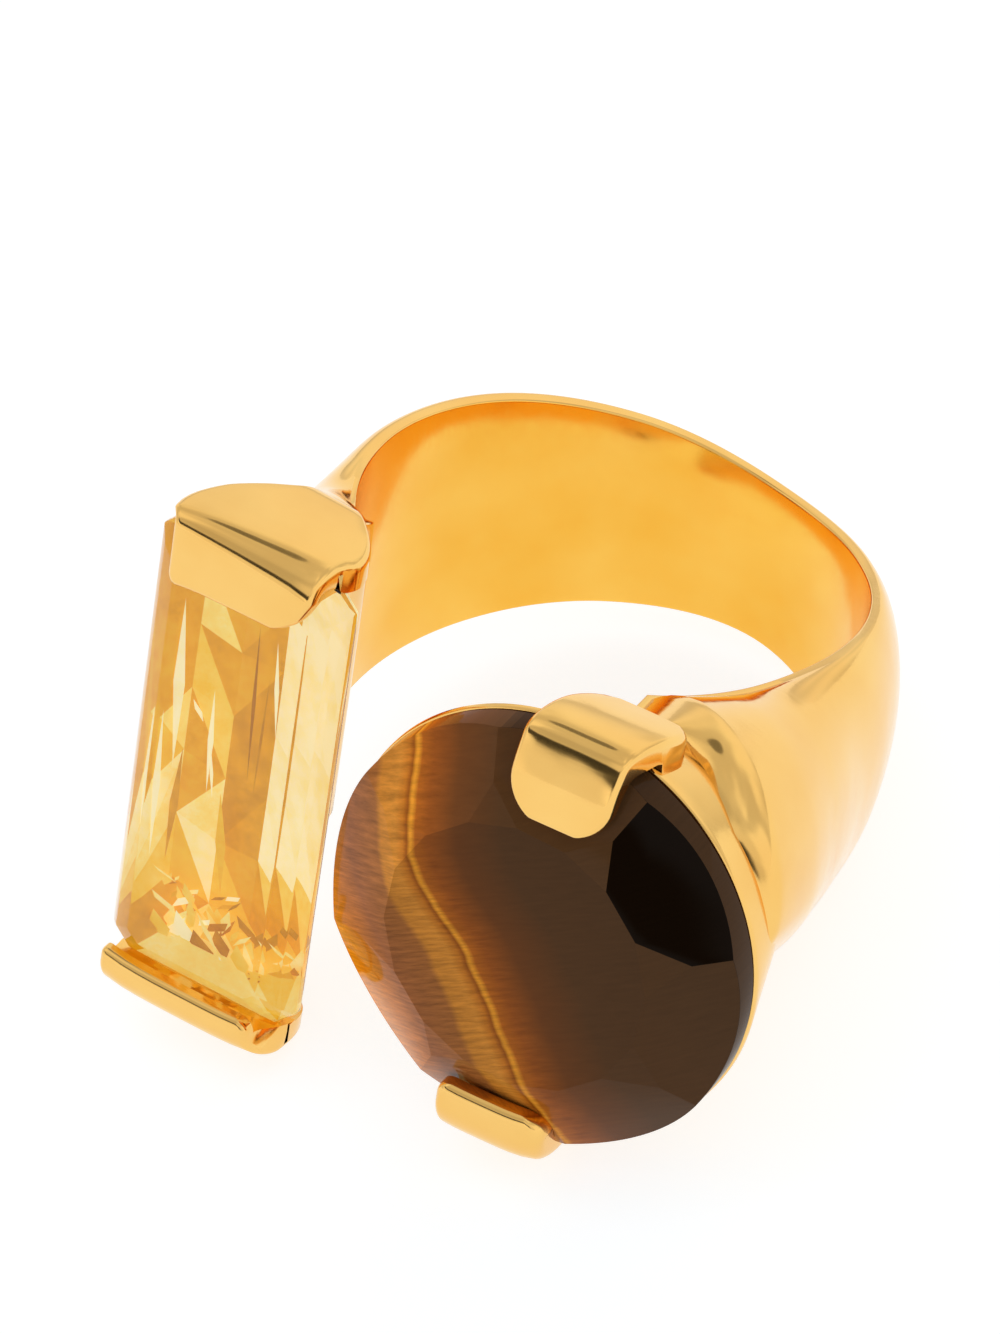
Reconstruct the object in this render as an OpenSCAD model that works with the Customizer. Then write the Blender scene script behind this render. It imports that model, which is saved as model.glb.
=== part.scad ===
// Open gemstone ring lying on its side: a wide polished band whose two shoulders flare into
// a folded holder for a baguette-cut citrine and a shallow oval cup for a faceted tiger's eye.
// The ring is drawn with the finger along Z and the stones towards -Y, then tipped on to its rest.

/* [Finger hole] */
// Radius of the finger hole
finger_r = 8.6; // [8.4:0.05:8.8]
// Width of the flat wall at the edge of the band
rim_t = 0.35; // [0.3:0.05:0.5]

/* [Band] */
// Half the width of the band at the palm, its narrowest place
palm_half = 3.15; // [2.8:0.05:3.6]
// Half the width of the band at the sides of the finger
side_half = 5.2; // [4.8:0.05:5.6]
// Thickness of the domed band at the palm
palm_t = 1.25; // [1.1:0.05:1.6]

/* [Tiger's eye] */
// Half the width of the oval stone
oval_a = 7.39; // [7.2:0.01:7.5]
// Half the height of the oval stone
oval_b = 7.85; // [7.7:0.01:7.95]
// Height of the crown above the girdle
oval_crown = 1.6; // [1.4:0.05:1.7]
// Thickness of the plain girdle
oval_girdle = 0.75; // [0.6:0.05:0.8]

/* [Citrine] */
// Half the width of the baguette at its girdle
bag_w = 3.68; // [3.5:0.02:3.8]
// Half the length of the baguette
bag_l = 9.0; // [8.9:0.05:9.15]
// Height of its crown above the girdle
bag_crown = 0.92; // [0.8:0.02:0.95]
// Depth of its pavilion below the girdle
bag_depth = 2.8; // [2.4:0.05:2.85]

/* [Settings] */
// Thickness of the folded end walls of the citrine holder
sheet_t = 1.0; // [0.9:0.05:1.1]
// Depth of the tiger's eye cup behind its lip
cup_depth = 3.7; // [3.5:0.05:3.8]
// Width of the folded tab over the top of the tiger's eye
top_w = 3.6; // [3.2:0.1:4.0]
// Clearance between each stone and the metal
gap = 0.05; // [0.04:0.01:0.08]

/* [Rest] */
// Tip of the whole ring about X as it lies on its side
tip_x = -15.2; // [-15.6:0.1:-14.8]
// Roll of the whole ring about Y as it lies on its side
tip_y = 9.4; // [9.0:0.1:9.8]

/* [Hidden] */
$fn = 96;
big = 40;
gold = [0.93, 0.74, 0.36];

// Girdle planes of the two stones in the upright ring: centre and turn about Z
oval_at = [5.87, -13.52, 0];
oval_turn = 2.1;
bag_at = [-6.2, -12.92, 0];
bag_turn = -2.0;

// Band stations from the citrine holder round the palm to the cup.
// Columns: angle and radius of the inner edge, angle and radius of the crown line, then half
// width, swell and fullness of the upper side, half width and fullness of the lower side, and
// height of the crown line, which the shoulder under the oval stone carries high
IN_A = 0;
IN_R = 1;
OUT_A = 2;
OUT_R = 3;
HALF = 4;
SWELL = 5;
CROWN = 6;
LOW = 7;
LOW_CROWN = 8;
LIFT = 9;
sole = finger_r + palm_t;
mid_half = (palm_half + side_half) / 2;
STATIONS = [
    [-152, 11.4, -143, 12.4, 8.5, 0.1, 7.2, 5.6, 5.0, 0],
    [-140, finger_r, -128, 11.9, 6.8, 1.5, 6.4, 5.4, 4.4, 0],
    [-126, finger_r, -112.5, 10.95, 5.6, 1.2, 4.9, 5.3, 3.8, 0],
    [-109, finger_r, -98, 10.5, side_half + 0.15, 0.45, 3.6, side_half + 0.1, 3.3, 0],
    [-88, finger_r, -83, 10.4, side_half, 0.1, 3, side_half, 3, 0],
    [-58, finger_r, -56, sole + 0.4, side_half - 0.5, 0.1, 2.8, side_half - 0.5, 2.7, 0],
    [-24, finger_r, -23, sole + 0.25, mid_half - 0.3, 0.1, 2.3, mid_half - 0.3, 2.2, 0],
    [12, finger_r, 12, sole + 0.1, palm_half, 0, 1.8, palm_half, 1.8, 0],
    [43, finger_r, 42, sole + 0.1, palm_half + 0.45, 0, 2, palm_half + 0.45, 2, 0],
    [68, finger_r, 65, sole + 0.3, mid_half + 0.2, 0, 2.4, mid_half + 0.2, 2.4, 0],
    [88, finger_r, 83, 10.5, side_half - 0.25, 0.1, 2.9, side_half - 0.25, 2.9, 0],
    [106, finger_r, 99, 11.25, side_half + 0.05, 0.6, 3.4, side_half, 3.1, 0.2],
    [122, finger_r, 113, 13.0, side_half + 0.1, 1.6, 3.9, side_half, 2.8, 0.9],
    [134, finger_r, 123, 15.2, side_half + 0.15, 3.2, 3.6, side_half, 2.3, 1.7],
    [143, finger_r, 130, 17.0, side_half + 0.2, 4.3, 3.4, side_half, 1.8, 2.3]
];
steps = 4;
dome_n = 9;
// The wall of the finger hole is a true round along its middle and eases back towards both rims
ease = 0.1;
bore_half = palm_half - 0.35;
bore_from = -51;
bore_turn = 279;

// Smooth value of one column at station x, counted from 0
function column(x, c) =
    let (
        last = len(STATIONS) - 1,
        i = min(floor(x), last - 1),
        f = x - i,
        p1 = STATIONS[i][c],
        p2 = STATIONS[i + 1][c],
        p0 = i > 0 ? STATIONS[i - 1][c] : 2 * p1 - p2,
        p3 = i + 2 <= last ? STATIONS[i + 2][c] : 2 * p2 - p1
    )
    p1 + f / 2 * ((p2 - p0) + f * ((2 * p0 - 5 * p1 + 4 * p2 - p3) + f * (3 * p1 - p0 - 3 * p2 + p3)));

function polar(angle, r) = [r * sin(angle), r * cos(angle)];
function bezier(a, b, c, d, t) =
    pow(1 - t, 3) * a + 3 * t * pow(1 - t, 2) * b + 3 * t * t * (1 - t) * c + t * t * t * d;

// One side of the dome at station x, from its edge to the crown line, as [distance outwards, height].
// side is 1 for the upper side and -1 for the lower
function dome(x, length, side) =
    let (
        edge = side > 0 ? column(x, HALF) : -column(x, LOW),
        swell = side > 0 ? column(x, SWELL) : 0,
        crown = side > 0 ? column(x, CROWN) : -column(x, LOW_CROWN),
        lift = column(x, LIFT)
    )
    [for (k = [0:dome_n - 1])
        bezier([rim_t, edge], [0.5 * length, edge + swell], [length, lift + crown], [length, lift],
               k / (dome_n - 1))];

// Closed outline of the band at one station, in space
function station(x) =
    let (
        a = polar(column(x, IN_A), max(finger_r, column(x, IN_R))),
        b = polar(column(x, OUT_A), column(x, OUT_R)),
        length = norm(b - a),
        way = (b - a) / length,
        top = dome(x, length, 1),
        side = concat(
            [[ease, -column(x, LOW)]],
            dome(x, length, -1),
            [for (k = [dome_n - 2:-1:0]) top[k]],
            [[ease, column(x, HALF)]]
        )
    )
    [for (p = side) [a[0] + way[0] * p[0], a[1] + way[1] * p[0], p[1]]];

// Skin over outlines with the same number of points, closed at both ends
module skin(outlines) {
    n = len(outlines[0]);
    rows = len(outlines);
    sides = [for (i = [0:rows - 2], j = [0:n - 1])
        let (a = i * n + j, b = i * n + (j + 1) % n)
        each [[a, b + n, b], [a, a + n, b + n]]];
    ends = [[for (j = [0:n - 1]) j], [for (j = [n - 1:-1:0]) (rows - 1) * n + j]];
    polyhedron([for (o = outlines, p = o) p], concat(sides, ends), convexity = 6);
}

// Place a setting: x across the stone, y up the stone, z out of its face
module setting(at, turn) {
    translate(at) rotate([90, 0, turn]) children();
}

function oval(a, b) = [for (i = [0:71]) [a * cos(i * 5), b * sin(i * 5)]];

module oval_plate(inset, low, high) {
    translate([0, 0, low]) linear_extrude(high - low) polygon(oval(oval_a - inset, oval_b - inset));
}

// Everything below a sloping plane that falls by drop over a run outwards, from height at radius r
module below(angle, r, height, run, drop) {
    rotate([0, 0, angle]) translate([r, 0, height]) rotate([0, atan2(drop, run), 0])
        translate([-big, -big, -2 * big]) cube(2 * big);
}

// Distance from the oval's centre to its edge in one direction
function oval_reach(angle) = norm([oval_a * cos(angle), oval_b * sin(angle)]);

facets = 8;
facet_start = 41.5;
table_part = 0.628;
seat_part = 0.9;
culet_part = 0.3;
oval_depth = 2.9;

// Eight flat faces that slope in to the culet at a given depth
module pavilion(depth) {
    intersection_for (i = [0:facets - 1]) {
        angle = facet_start + i * 360 / facets;
        reach = oval_reach(angle);
        mirror([0, 0, 1]) below(angle, culet_part * reach, depth, (seat_part - culet_part) * reach, 2.1);
    }
}

// Eight main facets with a star facet between each two, round the table
module crown_facets() {
    intersection_for (i = [0:facets - 1]) {
        angle = facet_start + i * 360 / facets;
        half_step = angle + 180 / facets;
        reach = oval_reach(angle);
        star = oval_reach(half_step);
        intersection() {
            below(angle, table_part * reach, oval_crown, 0.372 * reach, 1.5);
            below(half_step, table_part * star, oval_crown, 0.192 * star, 0.52);
        }
    }
}

module tigers_eye_cut() {
    intersection() {
        union() {
            oval_plate(0, gap - oval_girdle, oval_crown);
            oval_plate((1 - seat_part) * oval_a, -oval_depth, 0);
        }
        crown_facets();
        pavilion(oval_depth);
    }
}

// Room behind the girdle for the back of the stone
module stone_room() {
    intersection() {
        oval_plate((1 - seat_part) * oval_a - gap, -oval_depth - gap, big);
        pavilion(oval_depth + 2 * gap);
    }
}

module tigers_eye() {
    color([0.36, 0.2, 0.1]) lying() setting(oval_at, oval_turn) tigers_eye_cut();
}

// Outline of the baguette at one level: a rectangle with cut corners
function bag_outline(w, l, cut, level) =
    [for (q = [[w, -l + cut], [w, l - cut], [w - cut, l], [cut - w, l], [-w, l - cut], [-w, cut - l],
               [cut - w, -l], [w - cut, -l]])
        [q[0], q[1], level]];

// Levels of the cut from keel to table.
// Columns: part of the half width, step in from the end, corner cut, height
BAG_LEVELS = [
    [0.2, 2.6, 0.25, -bag_depth],
    [0.62, 1.3, 0.5, -0.62 * bag_depth],
    [0.99, 0, 0.75, -0.3],
    [1, 0, 0.75, 0],
    [0.87, 0.5, 0.6, 0.6 * bag_crown],
    [0.7, 1.1, 0.45, bag_crown]
];

module citrine() {
    color([0.95, 0.83, 0.5]) lying() setting(bag_at, bag_turn)
        skin([for (v = BAG_LEVELS) bag_outline(v[0] * bag_w, bag_l - v[1], v[2], v[3])]);
}

// Outlines of the citrine holder's end walls, seen along the stone: across it and out of its face
TOP_WALL = [
    [-2.5, 1.5], [-2.95, 0.1], [-2.45, -1.1], [-1.2, -2.2], [-0.2, -3.4],
    [1.4, -3.4], [2.6, -2.3], [3.25, -1.0], [3.0, 1.5]
];
LOW_WALL = [
    [-3.3, 1.5], [-3.3, 0.1], [-2.45, -1.1], [-1.2, -2.2], [-0.2, -3.4],
    [1.2, -3.4], [2.2, -2.3], [3.1, -1.1], [2.9, 1.5]
];
wall_z = bag_l + gap + 0.1;
bend_r = 1.05;
flap_t = 0.5;
flap_z = bag_crown + 0.08;
back_z = -bag_depth - 0.12;
back_t = 1.3;
back_left = -1.8;
back_w = 3.1;
back_half = 7.8;
web_t = 0.33;
web_left = -0.4;

// Corner of a rounded outline: points of an arc about a centre
function arc(x, y, r, from, to, n = 6) =
    [for (k = [0:n]) [x + r * cos(from + (to - from) * k / n), y + r * sin(from + (to - from) * k / n)]];

// One end of the citrine holder: the wall, its rounded bend and the flap over the stone.
// A wall with a back_r is also rounded over behind, towards the shoulder
module end_wall(outline, flap_left, flap_right, flap_low, r, back_r) {
    bend_z = flap_z + flap_t - bend_r;
    outside = wall_z + sheet_t;
    deepest = min([for (p = outline) p[1]]);
    back_edge = back_r > 0 ? arc(outside - back_r, deepest + back_r, back_r, -80, 0) : [[outside, -big]];
    intersection() {
        union() {
            translate([0, wall_z, 0]) rotate([-90, 0, 0]) mirror([0, 1, 0])
                linear_extrude(sheet_t) polygon(outline);
            translate([0, 0, flap_z]) linear_extrude(flap_t)
                polygon(concat(arc(flap_left + r, flap_low + r, r, 180, 270),
                               arc(flap_right - r, flap_low + r, r, 270, 360),
                               [[outline[8][0], wall_z + 0.3], [outline[0][0], wall_z + 0.3]]));
        }
        translate([-big, 0, 0]) rotate([90, 0, 90]) linear_extrude(2 * big)
            polygon(concat(back_edge, arc(outside - bend_r, bend_z, bend_r, 0, 90),
                           [[-big, bend_z + bend_r], [-big, -big]]));
    }
}

module citrine_holder() {
    end_wall(TOP_WALL, -2.5, 2.6, 7.5, 0.9, 0.9);
    mirror([0, 1, 0]) end_wall(LOW_WALL, -3.3, 2.9, 8.3, 0.5, 0);
    translate([back_left, -back_half, back_z - back_t]) cube([back_w, 2 * back_half, back_t]);
    web_half = wall_z + 0.5 * sheet_t;
    back_right = back_left + back_w;
    translate([0, 0, back_z - web_t]) linear_extrude(web_t)
        polygon([[web_left, -web_half], [back_right, -web_half], [back_right, web_half], [web_left, web_half],
                 [back_left, back_half], [back_left, -back_half]]);
}

// The two folded tabs, as outlines seen from the side: height up the stone, distance out of its face.
// The inner line keeps off the crown, which rises towards the table
crown_slope = 1.5 / (0.372 * oval_b);
function crown_at(v) = oval_crown - (v - table_part * oval_b) * crown_slope + 2 * gap;
tab_back = -1.8;
tab_in = oval_b + gap;
function tab_inside(tip) = [[tip, crown_at(tip)], [tab_in, crown_at(tab_in)], [tab_in, -oval_girdle],
                            [tab_in - 0.6, -oval_girdle], [tab_in - 0.6, tab_back]];

top_x = 0.75;
top_tip = 5.6;
top_out = 8.85;
top_front = 1.85;
top_bend = 1.0;
top_bend_z = 0.2;
low_x = 0;
low_w = 3.9;
low_tip = 6.2;
low_out = 8.55;
low_front = 1.75;

module tab(x, w, tip, side, corner) {
    intersection() {
        translate([x - w / 2, 0, 0]) rotate([90, 0, 90]) linear_extrude(w) polygon(side);
        linear_extrude(2 * big, center = true)
            polygon(concat(arc(x - w / 2 + corner, tip + corner, corner, 180, 270),
                           arc(x + w / 2 - corner, tip + corner, corner, 270, 360),
                           [[x + w / 2, big], [x - w / 2, big]]));
    }
}

module top_tab() {
    tab(top_x, top_w, top_tip, concat(tab_inside(top_tip), [[top_out - 0.4, tab_back]],
        arc(top_out - top_bend, top_bend_z, top_bend, 0, 65), [[top_tip, top_front]]), 1.3);
}

module low_tab() {
    bend = 0.5;
    rotate([0, 0, 180]) tab(low_x, low_w, low_tip, concat(tab_inside(low_tip), [[low_out, tab_back], [low_out, 0]],
        arc(low_tip + 1.2 - bend, low_front - bend, bend, 30, 90), [[low_tip, low_front]]), 0.6);
}

// Cup: a thin lip behind the whole stone that narrows to a deeper seat over the shoulder,
// which meets it high on its right
lip_t = 0.3;
seat_way = 40;
seat_off = 4.2;
seat_r = 3.45;

module cup() {
    deep = -oval_girdle - cup_depth;
    difference() {
        hull() {
            oval_plate(0.02, -oval_girdle - lip_t, -oval_girdle);
            translate([seat_off * cos(seat_way), seat_off * sin(seat_way), deep])
                linear_extrude(lip_t) polygon(oval(seat_r, seat_r));
        }
        stone_room();
    }
    top_tab();
    low_tab();
}

module band() {
    skin([for (i = [0:steps * (len(STATIONS) - 1)]) station(i / steps)]);
}

module bore_wall() {
    rotate([0, 0, bore_from]) rotate_extrude(angle = bore_turn)
        translate([finger_r, -bore_half]) square([0.5, 2 * bore_half]);
}

module metal_upright() {
    difference() {
        band();
        setting(oval_at, oval_turn) stone_room();
        setting(oval_at, oval_turn) oval_plate(-1, -oval_girdle, big);
    }
    bore_wall();
    setting(oval_at, oval_turn) cup();
    setting(bag_at, bag_turn) citrine_holder();
}

module lying() {
    rotate([tip_x, tip_y, 0]) children();
}

module ring_metal() {
    color(gold) lying() union() {
        metal_upright();
    }
}

ring_metal();
citrine();
tigers_eye();
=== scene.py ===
# Open gemstone ring lying on its side: polished gold, a baguette citrine and an oval tiger's eye
import math
import random
import bpy
import bmesh
from mathutils import Matrix, Vector


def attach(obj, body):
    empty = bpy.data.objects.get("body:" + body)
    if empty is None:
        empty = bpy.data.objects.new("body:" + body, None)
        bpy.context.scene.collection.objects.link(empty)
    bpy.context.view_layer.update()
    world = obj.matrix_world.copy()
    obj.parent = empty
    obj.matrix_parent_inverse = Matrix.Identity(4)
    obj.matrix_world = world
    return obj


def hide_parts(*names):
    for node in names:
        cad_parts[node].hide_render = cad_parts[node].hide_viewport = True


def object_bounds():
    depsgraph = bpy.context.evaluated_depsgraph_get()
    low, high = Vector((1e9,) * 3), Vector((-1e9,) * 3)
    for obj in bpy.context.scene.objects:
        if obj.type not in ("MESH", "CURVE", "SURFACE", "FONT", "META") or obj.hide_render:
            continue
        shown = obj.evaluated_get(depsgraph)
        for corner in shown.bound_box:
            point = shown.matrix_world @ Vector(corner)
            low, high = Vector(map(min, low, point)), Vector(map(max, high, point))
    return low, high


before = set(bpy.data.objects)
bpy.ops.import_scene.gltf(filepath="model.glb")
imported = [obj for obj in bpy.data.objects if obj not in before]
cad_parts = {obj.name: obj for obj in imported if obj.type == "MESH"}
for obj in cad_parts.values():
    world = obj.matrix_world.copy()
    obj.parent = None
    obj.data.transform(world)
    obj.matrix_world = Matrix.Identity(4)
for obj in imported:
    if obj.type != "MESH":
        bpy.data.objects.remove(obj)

cad_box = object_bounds()

# How the ring lies, and the view
# The ring is drawn upright in millimetres, with the finger along Z and the stones towards -Y,
# then tipped on to the three points it rests on, by two turns in degrees. The view is from above
# its stones.
tip_sideways = 9.4
tip_back = -15.2
tip = Matrix.Rotation(math.radians(tip_sideways), 4, "Y") @ Matrix.Rotation(math.radians(tip_back), 4, "X")
to_metres = Matrix.Scale(0.001, 4)
lay_down = to_metres @ tip
to_upright = lay_down.inverted()
finger_axis = tip.to_3x3() @ Vector((0, 0, 1))

# Where the view is taken from and how it is turned, by the upright ring, and how long its lens
# is in pixels of the photograph
view_from = Vector((101.597, -217.5866, 179.8449))
view_right = Vector((0.84869, 0.51396, 0.12477))
view_up = Vector((-0.39881, 0.46695, 0.78925))
view_back = view_right.cross(view_up)
lens_pixels = 9019.2
photo_height = 1334
sensor = 36

viewer = bpy.data.cameras.new("view")
viewer.sensor_width = sensor
viewer.lens = lens_pixels * sensor / photo_height
viewer.clip_start = 0.01
viewer.clip_end = 10
view = bpy.data.objects.new("view", viewer)
bpy.context.scene.collection.objects.link(view)
turned = Matrix((view_right, view_up, view_back)).transposed().to_4x4()
view.matrix_world = Matrix.Translation(lay_down @ view_from) @ (tip @ turned)
bpy.context.scene.camera = view

# Gold
# The outside of the metal is one colour of polished gold, warm where it faces itself and pale where it faces
# the white room, with hairline polishing marks and a very slight hand-filed waviness. Most of the finger
# hole's wall is a deeper, warmer copy of it: a painted reflection of the gold across the hole.


def set_sockets(node, **values):
    """Sets a node's inputs by their names, with _ in place of each space."""
    for name, value in values.items():
        node.inputs[name.replace("_", " ")].default_value = value
    return node


def new_node(tree, kind, **values):
    return set_sockets(tree.nodes.new("ShaderNode" + kind), **values)


def new_finish(name, **surface):
    """A material, its nodes, and the shader of its surface with the given inputs set."""
    finish = bpy.data.materials.new(name)
    finish.use_nodes = True
    tree = finish.node_tree
    return finish, tree, set_sockets(tree.nodes["Principled BSDF"], **surface)


def set_ramp(node, stops):
    """Fills a colour ramp from a list of (place, colour)."""
    elements = node.color_ramp.elements
    while len(elements) < len(stops):
        elements.new(0.5)
    for element, (at, colour) in zip(elements, stops):
        element.position = at
        element.color = (*colour, 1)


def wire_up(tree, pairs):
    for source, target in pairs:
        tree.links.new(source, target)


def polished_gold(name, deep, pale, shine=0.09, marks=0.06, wave=0.11):
    """Gold that drifts between a deep and a pale tone. shine is the roughness of its clearest spots,
    marks the strength of the polishing hairs and wave that of the filing."""
    gold, tree, surface = new_finish(name, Metallic=1.0)
    place = new_node(tree, "TexCoord")
    cloud = new_node(tree, "TexNoise", Scale=260, Detail=3)
    tone = new_node(tree, "ValToRGB")
    set_ramp(tone, [(0.3, deep), (0.7, pale)])
    stretch = new_node(tree, "Mapping", Rotation=(0.4, 0.2, 0.9), Scale=(400, 5200, 2600))
    hairs = new_node(tree, "TexNoise", Scale=1.0, Detail=4)
    dull = new_node(tree, "MapRange", From_Min=0.35, From_Max=0.75, To_Min=shine, To_Max=shine + 0.07)
    slow = new_node(tree, "TexNoise", Scale=520, Detail=1)
    filed = new_node(tree, "Bump", Strength=wave, Distance=0.0002)
    lines = new_node(tree, "Bump", Strength=marks, Distance=0.00002)
    wire_up(tree, [
        (place.outputs["Object"], cloud.inputs["Vector"]),
        (cloud.outputs["Fac"], tone.inputs["Fac"]),
        (tone.outputs["Color"], surface.inputs["Base Color"]),
        (place.outputs["Object"], stretch.inputs["Vector"]),
        (stretch.outputs["Vector"], hairs.inputs["Vector"]),
        (hairs.outputs["Fac"], dull.inputs["Value"]),
        (dull.outputs["Result"], surface.inputs["Roughness"]),
        (place.outputs["Object"], slow.inputs["Vector"]),
        (slow.outputs["Fac"], filed.inputs["Height"]),
        (filed.outputs["Normal"], lines.inputs["Normal"]),
        (hairs.outputs["Fac"], lines.inputs["Height"]),
        (lines.outputs["Normal"], surface.inputs["Normal"]),
    ])
    return gold


ring_gold = polished_gold("polished_gold", (0.90, 0.52, 0.14), (0.94, 0.59, 0.18))
# The deeper, warmer copy for the finger hole's wall is a painted reflection of the gold across the hole
painted_reflection_gold = polished_gold("painted_reflection_gold", (0.95, 0.50, 0.06), (0.99, 0.58, 0.10), shine=0.15)

# Band and shoulders
# One domed band of solid gold, narrow at the palm. Its two shoulders widen and rise: the left
# one runs into the citrine's holder, the right one into the back of the oval cup.
finger_r = 8.6
palm_half = 3.15
side_half = 5.2
mid_half = (palm_half + side_half) / 2

# Radius of the metal's outside at the palm, how wide the rim is flat before the dome begins, and
# how far the wall's skin lies behind the finger hole's own radius
sole = finger_r + 1.25
rim_flat = 0.35
wall_ease = 0.04

# Cross-sections from the left shoulder round the palm to the right one. The inner edge and the
# crown line each have an angle round the finger, in degrees, and a radius. Fullness is how
# roundly a side of the dome comes up to the crown line.
COLUMNS = ("inner angle", "inner r", "crown angle", "crown r", "upper half width", "upper swell",
           "upper fullness", "lower half width", "lower fullness", "crown height")
STATIONS = [
    (-152, 11.4, -143, 12.4, 8.5, 0.1, 7.2, 5.6, 5.0, 0),
    (-140, finger_r, -128, 11.9, 6.8, 1.5, 6.4, 5.4, 4.4, 0),
    (-126, finger_r, -112.5, 10.95, 5.6, 1.2, 4.9, 5.3, 3.8, 0),
    (-109, finger_r, -98, 10.5, side_half + 0.15, 0.45, 3.6, side_half + 0.1, 3.3, 0),
    (-88, finger_r, -83, 10.4, side_half, 0.1, 3, side_half, 3, 0),
    (-58, finger_r, -56, sole + 0.4, side_half - 0.5, 0.1, 2.8, side_half - 0.5, 2.7, 0),
    (-24, finger_r, -23, sole + 0.25, mid_half - 0.3, 0.1, 2.3, mid_half - 0.3, 2.2, 0),
    (12, finger_r, 12, sole + 0.1, palm_half, 0, 1.8, palm_half, 1.8, 0),
    (43, finger_r, 42, sole + 0.1, palm_half + 0.45, 0, 2, palm_half + 0.45, 2, 0),
    (68, finger_r, 65, sole + 0.3, mid_half + 0.2, 0, 2.4, mid_half + 0.2, 2.4, 0),
    (88, finger_r, 83, 10.5, side_half - 0.25, 0.1, 2.9, side_half - 0.25, 2.9, 0),
    (106, finger_r, 99, 11.25, side_half + 0.05, 0.6, 3.4, side_half, 3.1, 0.2),
    (122, finger_r, 113, 13.0, side_half + 0.1, 1.6, 3.9, side_half, 2.8, 0.9),
    (134, finger_r, 123, 15.2, side_half + 0.15, 3.2, 3.6, side_half, 2.3, 1.7),
    (143, finger_r, 130, 17.0, side_half + 0.2, 4.3, 3.4, side_half, 1.8, 2.3),
]


def along_table(x, column):
    """A column's value at place x, where whole numbers are the table's rows, on a smooth curve."""
    c = COLUMNS.index(column)
    last = len(STATIONS) - 1
    i = min(int(math.floor(x)), last - 1)
    f = x - i
    p1, p2 = STATIONS[i][c], STATIONS[i + 1][c]
    p0 = STATIONS[i - 1][c] if i > 0 else 2 * p1 - p2
    p3 = STATIONS[i + 2][c] if i + 2 <= last else 2 * p2 - p1
    return p1 + f / 2 * ((p2 - p0) + f * ((2 * p0 - 5 * p1 + 4 * p2 - p3) + f * (3 * p1 - p0 - 3 * p2 + p3)))


def on_circle(angle, r):
    return Vector((r * math.sin(math.radians(angle)), r * math.cos(math.radians(angle))))


def bent(a, b, c, d, t):
    """The point at share t of a curve from a to d that is pulled towards b and then c."""
    s = 1 - t
    return tuple(s ** 3 * a[k] + 3 * t * s * s * b[k] + 3 * t * t * s * c[k] + t ** 3 * d[k] for k in (0, 1))


def curve(a, b, c, d, count):
    """Evenly shared points along such a curve, both ends included."""
    return [bent(a, b, c, d, k / count) for k in range(count + 1)]


def half_dome(x, length, side, points=26):
    """One side of the dome, from the rim to the crown line: the upper one (1) or the lower one (-1)."""
    lift = along_table(x, "crown height")
    if side > 0:
        edge, swell, full = [along_table(x, "upper " + c) for c in ("half width", "swell", "fullness")]
    else:
        edge, swell, full = -along_table(x, "lower half width"), 0, -along_table(x, "lower fullness")
    rim, crown = (rim_flat, edge), (length, lift)
    return curve(rim, (0.5 * length, edge + swell), (length, lift + full), crown, points)


def band_outline(x, edge_r=0.1, wall_steps=6, edge_steps=3):
    """A closed cross-section: the straight wall of the finger hole, a rubbed edge, both sides of
    the dome and the other rubbed edge."""
    a = on_circle(along_table(x, "inner angle"), along_table(x, "inner r"))
    b = on_circle(along_table(x, "crown angle"), along_table(x, "crown r"))
    length = (b - a).length
    way = (b - a) / length
    low, high = -along_table(x, "lower half width"), along_table(x, "upper half width")
    line = []
    for k in range(wall_steps + 1):
        line.append((wall_ease, high - edge_r + (low - high + 2 * edge_r) * k / wall_steps))
    for k in range(1, edge_steps + 1):
        turn = math.pi / 2 * k / edge_steps
        line.append((wall_ease + edge_r * (1 - math.cos(turn)), low + edge_r * (1 - math.sin(turn))))
    line += half_dome(x, length, -1)
    line += list(reversed(half_dome(x, length, 1)))[1:]
    for k in range(edge_steps):
        turn = math.pi / 2 * (1 - k / edge_steps)
        line.append((wall_ease + edge_r * (1 - math.cos(turn)), high - edge_r * (1 - math.sin(turn))))
    return [Vector((a.x + way.x * p[0], a.y + way.y * p[0], p[1])) for p in line]


def skin_over(rows):
    """Points and faces of the closed body that runs through rows of equally many points."""
    n = len(rows[0])
    points = [p for row in rows for p in row]
    faces = []
    for i in range(len(rows) - 1):
        for j in range(n):
            a, b = i * n + j, i * n + (j + 1) % n
            faces.append((a, b, b + n, a + n))
    faces.append(tuple(reversed(range(n))))
    faces.append(tuple((len(rows) - 1) * n + j for j in range(n)))
    return points, faces


def sharp_edges(shape, crease):
    """The edges where two faces turn by more than crease degrees."""
    turn = math.radians(crease)
    return [e for e in shape.edges if len(e.link_faces) == 2 and e.calc_face_angle() > turn]


def shade_smooth(shape, crease):
    """Shades a mesh smoothly, apart from its sharp edges."""
    for part in shape.faces[:] + shape.edges[:]:
        part.smooth = True
    for e in sharp_edges(shape, crease):
        e.smooth = False


def add_piece(name, mesh, finish, node):
    """Sets a finished mesh in the ring, in place of the plain solid that it shows."""
    piece = bpy.data.objects.new(name, mesh)
    bpy.context.scene.collection.objects.link(piece)
    mesh.materials.append(finish)
    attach(piece, "root")
    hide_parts(node)
    return piece


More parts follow.
